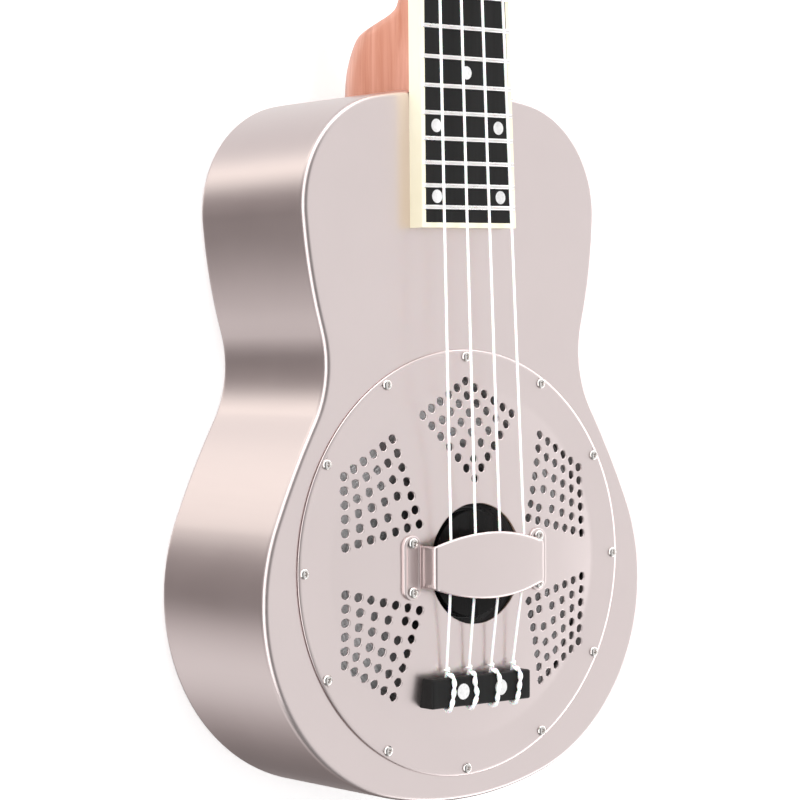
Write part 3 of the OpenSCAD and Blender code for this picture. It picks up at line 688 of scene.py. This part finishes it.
def hand_rest():
    """The arched strap with its two webs, and the two feet."""
    shape = Shape()
    thick, end_x, bow = 1.2 * MM, 29.55 * MM, 1.9 * MM
    mid_half, end_half = 13.4 * MM, 8.5 * MM
    arch = (end_x ** 2 + bow ** 2) / (2 * bow)
    crest = REST_HIGH.z - 0.62 * MM
    bend, tilt = 1.2 * MM, math.radians(8)
    # the line from one web over the arch to the other, as (x, z)
    line = []
    top_x = end_x - bend
    for k in range(41):
        x = top_x * (k / 40)
        line.append((x, crest - arch + math.sqrt(arch ** 2 - x ** 2)))
    z_end = line[-1][1]
    for k in range(1, 9):
        a = tilt + (math.pi / 2 - tilt) * k / 8
        line.append((top_x + bend * (math.sin(a) - math.sin(tilt)),
                     z_end + bend * (math.cos(a) - math.cos(tilt))))
    web_x, web_z = line[-1]
    for k in range(1, 5):
        line.append((web_x, web_z + (FOOT_TOP - 0.6 * MM - web_z) * k / 4))
    path = [(-x, z) for x, z in line[:0:-1]] + line
    # half of the section: distance in from the edge, drop of the middle of the sheet
    section = [(0.0, 0.62), (0.25, 0.55), (0.55, 0.4), (0.95, 0.22), (1.4, 0.08), (2.0, 0.0)]
    loops = []
    for k, (x, z) in enumerate(path):
        a, b = path[max(k - 1, 0)], path[min(k + 1, len(path) - 1)]
        length = math.hypot(b[0] - a[0], b[1] - a[1])
        up = Vector((-(b[1] - a[1]) / length, 0, (b[0] - a[0]) / length))
        reach = min(1.0, abs(x) / end_x)
        half = mid_half - (mid_half - end_half) * reach ** 2
        curl = 1.0 if abs(x) < top_x else 0.3
        upper, lower = [], []
        for inset, drop in section:
            y, fall = half - inset * MM, drop * MM * curl
            width = min(1.0, 0.25 + inset / 0.5) * thick / 2
            upper.append((y, -fall + width))
            lower.append((y, -fall - width))
        ring = ([(-y, h) for y, h in upper] + [(y, h) for y, h in upper[::-1]]
                + [(half + 0.06 * MM, -0.62 * MM * curl)]
                + [(y, h) for y, h in lower] + [(-y, h) for y, h in lower[::-1]]
                + [(-half - 0.06 * MM, -0.62 * MM * curl)])
        loops.append([on_cover(x + up.x * h, y, z + up.z * h) for y, h in ring])
    shape.rings(loops)
    for sign in (-1, 1):
        made = []
        half_w, half_l = 4.6 * MM, 13.0 * MM
        profile = [(0, -3.0), (0, -0.75), (0.08, -0.45), (0.25, -0.2), (0.5, -0.06), (0.85, 0),
                   (1.3, 0), (1.6, -0.12), (2.0, -0.2), (2.4, -0.2)]
        for inset, z in profile:
            loop = []
            for k in range(64):
                a = math.tau * k / 64
                y = (half_l - half_w) * (1 if math.sin(a) >= 0 else -1)
                r = half_w - inset * MM
                loop.append(on_cover(sign * FOOT_X + r * math.cos(a), y + r * math.sin(a),
                                     FOOT_TOP + z * MM))
            made.append(shape.ring(loop))
        for a, b in zip(made, made[1:]):
            shape.strip(a, b)
        shape.fill([made[-1]])
    piece("hand_rest", "palm_rest", shape.verts, shape.faces, sharp=60)


hand_rest()


def screw_heads(name, node, radius, seat):
    """Pan heads with a cross recess, each turned its own way, and their shanks."""
    shape = Shape()
    # share of the head's radius and height over its seat, in mm
    dome = [(0.5, 0.02), (1, 0.02), (1, 0.3), (0.95, 0.62), (0.84, 0.92), (0.68, 1.16), (0.56, 1.27)]
    arm, width = 0.5 * radius, 0.14 * radius
    for k, (low, high) in enumerate(parts_of(node)):
        centre = middle((low, high)).to_2d()
        profile = [(0.5 * radius, low.z + 0.3 * MM)]
        profile += [(share * radius, seat + z * MM) for share, z in dome]
        made = lathe(shape, centre, profile, 40)
        spin = 0.7 * k + 0.3

        def cross(scale, z):
            """The recess's outline at a height, drawn in by scale."""
            points = []
            for q in range(4):
                a = spin + q * math.pi / 2
                u, v = Vector((math.cos(a), math.sin(a))), Vector((-math.sin(a), math.cos(a)))
                for along, side in ((arm, -width), (arm, width), (width * 1.5, width * 1.5)):
                    p = centre + scale * (u * along + v * side)
                    points.append(Vector((p.x, p.y, seat + z)))
            return shape.ring(points)
        lips = [cross(1.0, 1.27 * MM), cross(0.93, 1.15 * MM), cross(0.6, 0.35 * MM)]
        shape.fill([made[-1], lips[0]])
        for a, b in zip(lips, lips[1:]):
            shape.strip(a, b)
        shape.fill([lips[-1]])
    piece(name, node, shape.verts, shape.faces, sharp=40)


screw_heads("cover_screws", "coverplate_screws", 2.2 * MM, RING_Z)
screw_heads("rest_screws", "palm_rest_screws", 2.3 * MM, FOOT_TOP)

# ---------------------------------------------------------------- strings and their block

BLOCK_LOW, BLOCK_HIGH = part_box("tie_block")
dots = parts_of("tie_block_dots")
BLOCK_MID = (middle(dots[0]) + middle(dots[1])) / 2
BLOCK_LINE = Vector((BLOCK_MID.x * math.cos(TURN) + BLOCK_MID.y * math.sin(TURN),
                     -BLOCK_MID.x * math.sin(TURN) + BLOCK_MID.y * math.cos(TURN)))
BLOCK_TOP = BLOCK_HIGH.z
BLOCK_HALF = 6.0 * MM
# sideways reach of each knot's turns over the block, from front to back
SWAY = [(0, 0.6, 0.0, -0.9), (0, -0.2, 0.8, -0.7), (0, 1.2, 0.3, 0.1), (0, 0.8, 0.0, -0.8)]


def centre_line(node):
    """The middle of a cord's rings, along Y."""
    bm = welded(node)
    left = sorted((v.co.copy() for v in bm.verts), key=lambda v: v.y)
    bm.free()
    points = []
    while left:
        first = left[0]
        near = [v for v in left if (v - first).length < 1.3 * MM]
        left = [v for v in left if (v - first).length >= 1.3 * MM]
        if len(near) >= 6:
            points.append(sum(near, Vector()) / len(near))
    return points


STRING_R = 0.57 * MM
STRAND_R = 0.56 * MM
TWIST_R = 0.48 * MM
TWIST_PITCH = 8.0 * MM


def over_block(x, y, z):
    """A point from the block's middle, in the coverplate's turned axes, z above its top."""
    return on_cover(BLOCK_LINE.x + x, BLOCK_LINE.y + y, BLOCK_TOP + z)


def knot(shape, x, z_hole, sway):
    """A string that comes out behind the block, and goes back over it twice, twisted."""
    edge = BLOCK_HALF + 0.7 * MM
    lie = 1.05 * MM
    spine = [over_block(x, -edge, z_hole - BLOCK_TOP),
             over_block(x + 0.6 * sway[3] * MM, -edge - 0.5 * MM, -1.2 * MM),
             over_block(x + sway[3] * MM, -edge + 0.7 * MM, 0.6 * MM),
             over_block(x + sway[2] * MM, -0.3 * BLOCK_HALF, lie),
             over_block(x + sway[1] * MM, 0.55 * BLOCK_HALF, lie),
             over_block(x + 0.35 * sway[1] * MM, BLOCK_HALF, lie - 0.1 * MM),
             over_block(x - 0.2 * MM, edge + 0.4 * MM, -0.2 * MM),
             over_block(x - 0.5 * MM, edge + 0.7 * MM, -1.6 * MM)]
    spine = smooth_path(spine, 0.35 * MM)
    across = Vector((math.cos(TURN), math.sin(TURN), 0))
    for phase in (0, math.pi):
        path = []
        gone = 0.0
        for k, point in enumerate(spine):
            after = spine[min(k + 1, len(spine) - 1)]
            before = spine[max(k - 1, 0)]
            along = (after - before).normalized()
            side = (across - across.dot(along) * along).normalized()
            lift = along.cross(side)
            turn = phase + math.tau * gone / TWIST_PITCH
            reach = TWIST_R * (1 + 0.25 * noise.noise(point * 700 + Vector((phase, 0, 0))))
            path.append(point + reach * (math.cos(turn) * side + math.sin(turn) * lift))
            gone += (after - point).length
        rod(shape, path, STRAND_R, 12)


def collar(shape, centre, along, radius, turns):
    """Turns of string round the tail of the main one."""
    side = along.orthogonal().normalized()
    lift = along.cross(side)
    path = []
    for k in range(int(28 * turns) + 1):
        a = math.tau * k / 28
        path.append(centre + along * 1.15 * MM * (k / 28 - turns / 2)
                    + radius * (math.cos(a) * side + math.sin(a) * lift))
    rod(shape, path, 0.48 * MM, 10)


for k in range(4):
    node = "string_%d" % (k + 1)
    points = centre_line(node)
    run = [p for p in points if p.y > -20 * MM]
    tail = [p for p in points if p.y <= -20 * MM]
    hole_z = min(p.z for p in tail)
    threaded = [p.x * math.cos(TURN) + p.y * math.sin(TURN) for p in tail if p.z < hole_z + 0.5 * MM]
    block_x = sum(threaded) / len(threaded) - BLOCK_LINE.x
    shape = Shape()
    enter = over_block(block_x, BLOCK_HALF - 1 * MM, hole_z - BLOCK_TOP)
    bend = over_block(block_x, BLOCK_HALF + 2.2 * MM, hole_z - BLOCK_TOP + 0.75 * MM)
    line = [enter, bend] + [run[0] + (bend - run[0]) * 0.03, run[0] + (run[1] - run[0]) * 0.003]
    path = smooth_path(line[:2] + [bend.lerp(line[2], 0.05)], 0.4 * MM) + line[2:]
    path += [run[0].lerp(run[1], f) for f in (0.25, 0.5, 0.75)]
    path += smooth_path(run[1:3] + [run[2].lerp(run[3], 0.04)], 1 * MM) + [run[3]]
    rod(shape, path, STRING_R, 14)
    knot(shape, block_x, hole_z, SWAY[k])
    along = (run[0] - bend).normalized()
    collar(shape, bend + along * 0.9 * MM, along, 0.95 * MM, 1.3)
    piece(node.replace("_", "_cord_"), node, shape.verts, shape.faces, sharp=80)


def rounded_rect(half_x, half_y, corner, inset):
    """Points round a rectangle with round corners, drawn in by inset."""
    points = []
    for k, (sx, sy) in enumerate(((1, 1), (-1, 1), (-1, -1), (1, -1))):
        for j in range(7):
            a = math.radians(90 * k + 15 * j)
            r = max(corner - inset, 0.05 * MM)
            cx, cy = half_x - inset - r, half_y - inset - r
            points.append((sx * cx + r * math.cos(a), sy * cy + r * math.sin(a)))
    return points


def block():
    """The tie block, whose foot follows the coverplate."""
    shape = Shape()
    half_x = 26.9 * MM
    foot = []
    for x, y in rounded_rect(half_x, BLOCK_HALF, 0.9 * MM, 0):
        p = over_block(x, y, 0)
        foot.append(Vector((p.x, p.y, cover_at(p.to_2d())[0] - 0.3 * MM)))
    made = [shape.ring(foot)]
    for inset, z in ((0, -1.06), (0.04, -0.78), (0.15, -0.48), (0.36, -0.22), (0.66, -0.1),
                     (1.1, -0.06)):
        made.append(shape.ring([over_block(x, y, z * MM) for x, y in
                                rounded_rect(half_x, BLOCK_HALF, 0.9 * MM, inset * MM)]))
    for a, b in zip(made, made[1:]):
        shape.strip(a, b)
    shape.fill([made[-1]])
    piece("string_block", "tie_block", shape.verts, shape.faces, sharp=50)


block()

# ---------------------------------------------------------------- neck and board

NECK_LOW, NECK_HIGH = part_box("neck")
BOARD_LOW, BOARD_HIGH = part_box("fingerboard_binding")
NUT_LOW, NUT_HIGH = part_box("nut")
HEAD_UP = Vector(frame["joints"][0]["axis"])
HEAD_ALONG = Vector((0, HEAD_UP.z, -HEAD_UP.y))


def board_half(y):
    """Half of the board's width at a distance along the neck."""
    wide, narrow = BOARD_HIGH.x, NUT_HIGH.x
    return wide + (narrow - wide) * (y - BOARD_LOW.y) / (NUT_LOW.y - BOARD_LOW.y)


def head_loop():
    """The headstock's outline on its face, in order."""
    bm = welded("headplate")
    top = [f for f in bm.faces if f.normal.dot(HEAD_UP) > 0.99]
    edges = {}
    for face in top:
        for edge in face.edges:
            if sum(f in top for f in edge.link_faces) == 1:
                a, b = edge.verts
                edges.setdefault(a, []).append(b)
                edges.setdefault(b, []).append(a)
    start = min(edges, key=lambda v: v.co.y)
    loop, last = [start], None
    while True:
        step = next((v for v in edges[loop[-1]] if v is not last and v not in loop), None)
        if step is None:
            break
        last = loop[-1]
        loop.append(step)
    points = [v.co.copy() for v in loop]
    bm.free()
    area = sum(a.x * b.y - b.x * a.y for a, b in zip(points, points[1:] + points[:1]))
    return points if area > 0 else points[::-1]


def soften(points, reach):
    """A loop whose corners are rounded off."""
    out = []
    count = len(points)
    for k in range(count):
        before, here, after = points[k - 1], points[k], points[(k + 1) % count]
        a = min(reach, 0.45 * (here - before).length)
        b = min(reach, 0.45 * (after - here).length)
        p = here + (before - here).normalized() * a
        q = here + (after - here).normalized() * b
        out += [p.lerp(here, t).lerp(here.lerp(q, t), t) for t in (0, 0.2, 0.4, 0.6, 0.8, 1)]
    return out


HEAD_LOOP = soften(head_loop(), 5 * MM)


def head_ring(inset, depth):
    """The headstock's outline, drawn in and below its face."""
    count = len(HEAD_LOOP)
    ring = []
    for k, p in enumerate(HEAD_LOOP):
        along = (HEAD_LOOP[(k + 1) % count] - HEAD_LOOP[k - 1]).normalized()
        out = along.cross(HEAD_UP)
        ring.append(p - out * inset - HEAD_UP * depth)
    return ring


def slab(shape, profile):
    """A closed plate with the headstock's outline, from (inset, depth) pairs in mm."""
    made = shape.rings([head_ring(inset * MM, depth * MM) for inset, depth in profile])
    shape.fill([made[0]])
    shape.fill([made[-1][::-1]])


def neck():
    """The heel and shaft as one smooth run of sections, and the headstock."""
    shape = Shape()
    edge = NECK_LOW.y + 1 * MM
    heel = TOP_Z - NECK_LOW.z
    # distance from the heel's end in mm, and share of the heel's depth
    depths = [(-2, 1.0), (8, 0.975), (15, 0.928), (20, 0.872), (23.5, 0.81), (26, 0.72), (28.2, 0.58),
              (30.2, 0.43), (32.3, 0.33), (35, 0.292), (40, 0.283), (80, 0.275)]
    stations = [Vector((d * MM, heel * f, 0)) for d, f in depths]
    stations.append(Vector((NUT_HIGH.y - edge, 14 * MM, 0)))
    stations = smooth_path(stations, 1.2 * MM)
    loops = []
    for s in stations:
        y = edge + s.x
        blend = min(1.0, max(0.0, (s.x - 24 * MM) / (14 * MM)))
        power = 0.5 + 0.26 * blend
        half = board_half(y) - 0.25 * MM
        ring = []
        for j in range(33):
            a = math.pi * j / 32
            c, q = math.cos(a), math.sin(a)
            ring.append(Vector((half * math.copysign(abs(c) ** power, c), y,
                                TOP_Z - s.y * max(q, 0) ** power)))
        loops.append(ring)
    made = shape.rings(loops)
    shape.cap(made[-1])
    shape.cap(made[0][::-1])
    slab(shape, [(0, 1.5), (0, 11.5), (0.25, 12.5), (0.9, 13.2), (1.8, 13.5)])
    piece("neck_wood", "neck", shape.verts, shape.faces, sharp=45)


def head_face():
    shape = Shape()
    slab(shape, [(0.5, 0), (0.15, 0.12), (0, 0.4), (0, 1.5)])
    piece("head_face", "headplate", shape.verts, shape.faces, sharp=50)


neck()
head_face()


FRET_HALF = 0.95 * MM


def fret_bars():
    """Half-round bars with bevelled ends."""
    shape = Shape()
    for low, high in parts_of("frets"):
        y, base, tall = (low.y + high.y) / 2, BOARD_HIGH.z, high.z - BOARD_HIGH.z
        ends = []
        for x, inward in ((low.x, 1), (high.x, -1)):
            ring = []
            for j in range(13):
                a = math.pi * j / 12
                z = math.sin(a) * tall
                ring.append(Vector((x + inward * z * 0.7, y - math.cos(a) * FRET_HALF, base + z)))
            ring += [Vector((x, y + side * FRET_HALF, base - 0.1 * MM)) for side in (1, -1)]
            ends.append(shape.ring(ring))
        shape.strip(ends[0], ends[1])
        shape.cap(ends[0][::-1])
        shape.cap(ends[1])
    piece("fret_bars", "frets", shape.verts, shape.faces, sharp=35)


fret_bars()

# ---------------------------------------------------------------- windings on the posts


def winding(k):
    """Turns of string round a post, on the line of the CAD's own turns."""
    joint = next(j for j in frame["joints"] if j["name"] == "post_%d_turn" % k)
    origin, axis = Vector(joint["pos_m"]), Vector(joint["axis"]).normalized()
    node = "string_winding_%d" % k
    bm = welded(node)
    offsets = [v.co - origin for v in bm.verts]
    bm.free()
    heights = [o.dot(axis) for o in offsets]
    reach = [(o - o.dot(axis) * axis).length for o in offsets]
    radius = (min(reach) + max(reach)) / 2
    thick = (max(reach) - min(reach)) / 2
    low, high = min(heights) + thick, max(heights) - thick
    side = Vector((1, 0, 0))
    other = axis.cross(side)
    turns, steps = 4, 40
    path = []
    for j in range(turns * steps + 1):
        a = math.tau * j / steps
        path.append(origin + axis * (low + (high - low) * j / (turns * steps))
                    + radius * (math.cos(a) * side + math.sin(a) * other))
    shape = Shape()
    rod(shape, path, thick * 0.98, 10)
    piece("winding_%d" % k, node, shape.verts, shape.faces, sharp=80)


for k in (1, 2, 3, 4):
    winding(k)

# ---------------------------------------------------------------- stage

FLOOR_HALF = 6.0
corners = [(x * FLOOR_HALF, y * FLOOR_HALF, 0) for x, y in ((-1, -1), (1, -1), (1, 1), (-1, 1))]
mesh = bpy.data.meshes.new("floor")
mesh.from_pydata(corners, [], [(0, 1, 2, 3)])
floor = bpy.data.objects.new("floor", mesh)
bpy.context.scene.collection.objects.link(floor)
floor.location.z = CAD_BOX[0].z - 0.2 * MM
paint = plain("floor_paint", (0.93, 0.93, 0.93), (0.95, 0.95, 0.95), 0.7, 2.0)
paint_inputs = paint.node_tree.nodes["Principled BSDF"].inputs
paint_inputs["Emission Color"].default_value = (1, 1, 1, 1)
paint_inputs["Emission Strength"].default_value = 0.3
mesh.materials.append(paint)
floor.visible_glossy = False

world = bpy.data.worlds.new("studio")
bpy.context.scene.world = world
world.use_nodes = True
tree = world.node_tree
sky = tree.nodes["Background"]
split = add(tree, "SeparateXYZ")
coords = add(tree, "TexCoord")
tree.links.new(coords.outputs["Generated"], split.inputs[0])
turn = add(tree, "Math", operation="ARCTAN2")
tree.links.new(split.outputs["Y"], turn.inputs[0])
tree.links.new(split.outputs["X"], turn.inputs[1])
# azimuth -180..180 becomes 0..1
around = spread(tree, turn.outputs["Value"], 0.0, 1.0, -math.pi, math.pi)


def at(degrees):
    return ((degrees + 180) % 360) / 360


def grey(v):
    return (v, v, v)


def warm(v):
    """A brightness, browner the darker it is below 1, and peach where it is a bright light."""
    dark, light = max(0.0, 1 - v), min(1.0, max(0.0, 3 * (v - 0.9)))
    return (v, v * (1 - 0.14 * dark - 0.05 * light), v * (1 - 0.155 * dark - 0.115 * light))


def sum_of(a, b, operation="ADD"):
    """A sum, or another operation, of a socket and a socket or number."""
    node = add(tree, "Math", operation=operation)
    tree.links.new(a, node.inputs[0])
    if isinstance(b, float):
        node.inputs[1].default_value = b
    else:
        tree.links.new(b, node.inputs[1])
    return node.outputs["Value"]


def times(a, b):
    return sum_of(a, b, "MULTIPLY")


def strip_of_light(across, starts, full, rises, falls):
    """A soft strip: across goes from starts to full, and the height Z rises and falls."""
    edge = spread(tree, across, 0.0, 1.0, starts, full)
    above = spread(tree, split.outputs["Z"], 0.0, 1.0, *rises)
    below = spread(tree, split.outputs["Z"], 1.0, 0.0, *falls)
    return times(times(edge, above), below)


# what the sides reflect, as (azimuth, brightness) below the horizon
LOW_ROOM = [(18, 0.96), (50, 0.94), (86, 0.85), (110, 0.78), (122, 0.96), (133, 1.68), (145, 1.06),
            (156, 0.4), (168, 0.30), (180, 0.22), (190, 0.20), (199, 0.53), (208, 0.72),
            (226, 0.92), (246, 0.76), (258, 0.50), (270, 0.36), (284, 0.23), (312, 0.18), (340, 0.5)]
low = tint(tree, around, *sorted((at(a), warm(v)) for a, v in LOW_ROOM))
# what the face reflects: even round the direction that it mirrors the camera to, darker further off
MIRRORED = (0.6555, -0.0275, 0.7547)
facing = add(tree, "VectorMath", operation="DOT_PRODUCT")
tree.links.new(coords.outputs["Generated"], facing.inputs[0])
facing.inputs[1].default_value = MIRRORED
along = times(split.outputs["Y"], split.outputs["Y"])
wide = sum_of(facing.outputs["Value"], times(along, 0.35))
high = tint(tree, spread(tree, wide, 0.0, 1.0, -0.4, 1.0), (0.0, grey(0.3)), (0.5, grey(0.2)),
            (0.7, grey(0.3)), (0.8, grey(0.65)), (0.88, grey(0.92)))
room = blended(tree, "MIX", low, high, spread(tree, split.outputs["Z"], 0.0, 1.0, -0.3, 0.05))
# lights to the left above, to the right at the horizon, and past the head for the shoulders' edge
leftward = sum_of(times(split.outputs["X"], -0.85), times(split.outputs["Y"], 0.5))
left_strip = strip_of_light(leftward, 0.1, 0.35, (-0.08, 0.06), (0.5, 0.65))
right_strip = strip_of_light(split.outputs["X"], 0.3, 0.6, (-0.14, -0.02), (0.12, 0.28))
head_strip = strip_of_light(split.outputs["Y"], 0.62, 0.78, (-0.1, 0.05), (0.36, 0.5))
glow = sum_of(sum_of(times(left_strip, 1.7), times(right_strip, 2.6)), times(head_strip, 0.85))
tree.links.new(blended(tree, "ADD", room, glow), sky.inputs["Color"])
sky.inputs["Strength"].default_value = 1.0


def area_light(name, place_at, watts):
    """A round soft light on the body that no metal mirrors."""
    light = bpy.data.lights.new(name, "AREA")
    light.shape = "DISK"
    light.size = 1.2
    light.energy = watts
    obj = bpy.data.objects.new(name, light)
    bpy.context.scene.collection.objects.link(obj)
    obj.location = place_at
    obj.rotation_mode = "QUATERNION"
    obj.rotation_quaternion = (Vector((0, 0.1, 0)) - Vector(place_at)).to_track_quat("-Z", "Y")
    obj.visible_glossy = False


area_light("key", (0.3, 0.9, 1.7), 26.0)
area_light("fill", (-1.5, 0.2, 0.9), 8.0)

EYE = Vector((-0.6778181, 0.0977038, 0.8286423))
FORWARD = Vector((0.6469787, -0.0302598, -0.7619074))
UP = Vector((0.0361389, 0.9993062, -0.0090006))
LENS = 112.434
lens = bpy.data.cameras.new("camera")
lens.lens = LENS
lens.sensor_width = 36
camera = bpy.data.objects.new("camera", lens)
bpy.context.scene.collection.objects.link(camera)
right = FORWARD.cross(UP).normalized()
camera.matrix_world = Matrix.Translation(EYE) @ Matrix(
    (right, right.cross(FORWARD), -FORWARD)).transposed().to_4x4()
bpy.context.scene.camera = camera
bpy.context.scene.view_settings.view_transform = "Standard"
